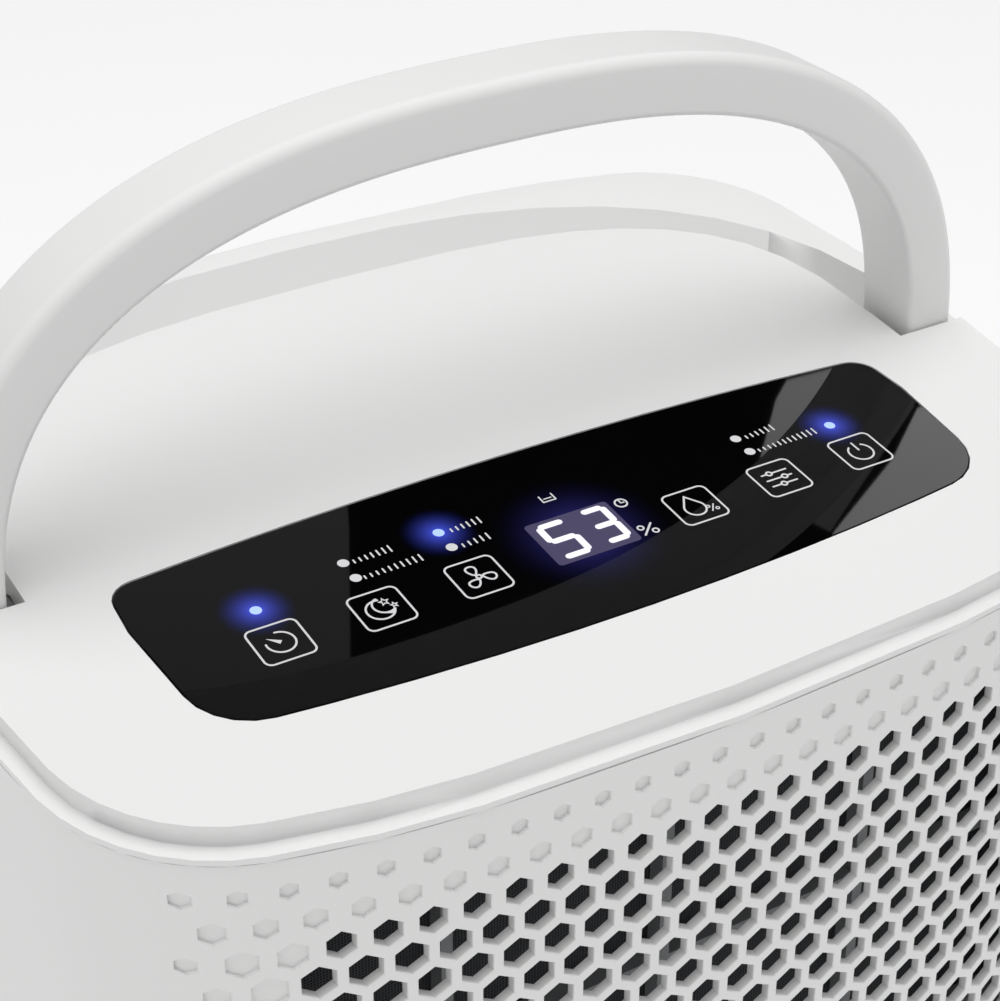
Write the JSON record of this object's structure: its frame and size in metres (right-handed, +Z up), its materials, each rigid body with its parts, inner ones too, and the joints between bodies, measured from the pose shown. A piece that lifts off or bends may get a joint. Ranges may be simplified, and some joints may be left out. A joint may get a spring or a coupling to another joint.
{
  "type": "portable dehumidifier",
  "caption": "Upright portable dehumidifier with a sloping touch-panel top, fold-down carrying handle, hexagonal front grille, slide-out water tank and castors.",
  "frame": {"origin": "on the floor under the middle of the casing", "axes": "+Z up, -Y towards the front grille, X along the handle's pivot line"},
  "size_m": [0.298, 0.2224, 0.5758],
  "materials": {
    "white_abs": "fine satin texture",
    "black_glass": "high gloss",
    "black_plastic": "satin",
    "grey_plastic": "satin",
    "dark_grey_plastic": "satin",
    "clear_tank": "translucent, smoky",
    "steel": "zinc plated",
    "compressor_black": "black enamel",
    "copper": "drawn copper",
    "aluminium": "bare",
    "rubber": "moulded",
    "green_board": "solder mask",
    "filter_net": "woven nylon net"
  },
  "bodies": {
    "casing": {"top_cover": "white_abs", "front_shell": "white_abs", "rear_shell": "white_abs", "control_glass": "black_glass", "display_module": "black_plastic", "control_board": "green_board", "handle_pin_left": "steel", "handle_pin_right": "steel", "base_tray": "dark_grey_plastic", "chassis": "dark_grey_plastic", "cord_gland": "dark_grey_plastic", "tank_switch": "black_plastic", "drip_tray": "grey_plastic", "drain_nozzle": "grey_plastic", "evaporator": "aluminium", "condenser": "aluminium", "compressor": "compressor_black", "accumulator": "copper", "accumulator_pipe": "copper", "suction_pipe": "copper", "discharge_pipe": "copper", "capillary_tube": "copper", "fan_shroud": "black_plastic", "fan_motor": "steel", "motor_bracket": "steel", "run_capacitor": "white_abs", "power_board": "green_board", "humidity_sensor": "grey_plastic", "compressor_foot_1": "rubber", "compressor_foot_2": "rubber", "compressor_foot_3": "rubber", "cover_screw_front_left": "steel", "cover_screw_front_right": "steel", "cover_screw_rear_left": "steel", "cover_screw_rear_right": "steel"},
    "handle": {"carry_handle": "white_abs"},
    "fan": {"fan_impeller": "black_plastic"},
    "filter": {"filter_frame": "grey_plastic", "filter_mesh": "filter_net"},
    "tank": {"water_tank": "clear_tank", "tank_lid": "grey_plastic"},
    "float": {"tank_float": "white_abs"},
    "drain_plug": {"drain_cap": "rubber"},
    "castor_front_left": {"castor_fork_front_left": "dark_grey_plastic"},
    "wheel_front_left": {"castor_wheel_front_left": "grey_plastic"},
    "castor_front_right": {"castor_fork_front_right": "dark_grey_plastic"},
    "wheel_front_right": {"castor_wheel_front_right": "grey_plastic"},
    "castor_rear_left": {"castor_fork_rear_left": "dark_grey_plastic"},
    "wheel_rear_left": {"castor_wheel_rear_left": "grey_plastic"},
    "castor_rear_right": {"castor_fork_rear_right": "dark_grey_plastic"},
    "wheel_rear_right": {"castor_wheel_rear_right": "grey_plastic"}
  },
  "joints": [
    {"name": "handle_fold", "type": "hinge", "parent": "casing", "child": "handle", "pos_m": [0, -0.0025, 0.4715], "axis": [-1, 0, 0], "range_deg": [0, 83.5]},
    {"name": "fan_spin", "type": "hinge", "parent": "casing", "child": "fan", "pos_m": [0, 0, 0.34225], "axis": [0, 1, 0], "continuous": true},
    {"name": "filter_slide", "type": "slide", "parent": "casing", "child": "filter", "axis": [1, 0, 0], "range_m": [0, 0.275]},
    {"name": "tank_slide", "type": "slide", "parent": "casing", "child": "tank", "axis": [0, 1, 0], "range_m": [0, 0.14]},
    {"name": "float_rise", "type": "hinge", "parent": "tank", "child": "float", "pos_m": [0.075, 0.04, 0.178], "axis": [0, 1, 0], "range_deg": [0, 14]},
    {"name": "drain_cap_pull", "type": "slide", "parent": "casing", "child": "drain_plug", "axis": [0, 1, 0], "range_m": [0, 0.03]},
    {"name": "castor_swivel_front_left", "type": "hinge", "parent": "casing", "child": "castor_front_left", "pos_m": [-0.108, -0.06225, 0.036], "axis": [0, 0, 1], "continuous": true},
    {"name": "wheel_roll_front_left", "type": "hinge", "parent": "castor_front_left", "child": "wheel_front_left", "pos_m": [-0.108, -0.05325, 0.014], "axis": [1, 0, 0], "continuous": true},
    {"name": "castor_swivel_front_right", "type": "hinge", "parent": "casing", "child": "castor_front_right", "pos_m": [0.108, -0.06225, 0.036], "axis": [0, 0, 1], "continuous": true},
    {"name": "wheel_roll_front_right", "type": "hinge", "parent": "castor_front_right", "child": "wheel_front_right", "pos_m": [0.108, -0.05325, 0.014], "axis": [1, 0, 0], "continuous": true},
    {"name": "castor_swivel_rear_left", "type": "hinge", "parent": "casing", "child": "castor_rear_left", "pos_m": [-0.108, 0.06225, 0.036], "axis": [0, 0, 1], "continuous": true},
    {"name": "wheel_roll_rear_left", "type": "hinge", "parent": "castor_rear_left", "child": "wheel_rear_left", "pos_m": [-0.108, 0.07125, 0.014], "axis": [1, 0, 0], "continuous": true},
    {"name": "castor_swivel_rear_right", "type": "hinge", "parent": "casing", "child": "castor_rear_right", "pos_m": [0.108, 0.06225, 0.036], "axis": [0, 0, 1], "continuous": true},
    {"name": "wheel_roll_rear_right", "type": "hinge", "parent": "castor_rear_right", "child": "wheel_rear_right", "pos_m": [0.108, 0.07125, 0.014], "axis": [1, 0, 0], "continuous": true}
  ]
}
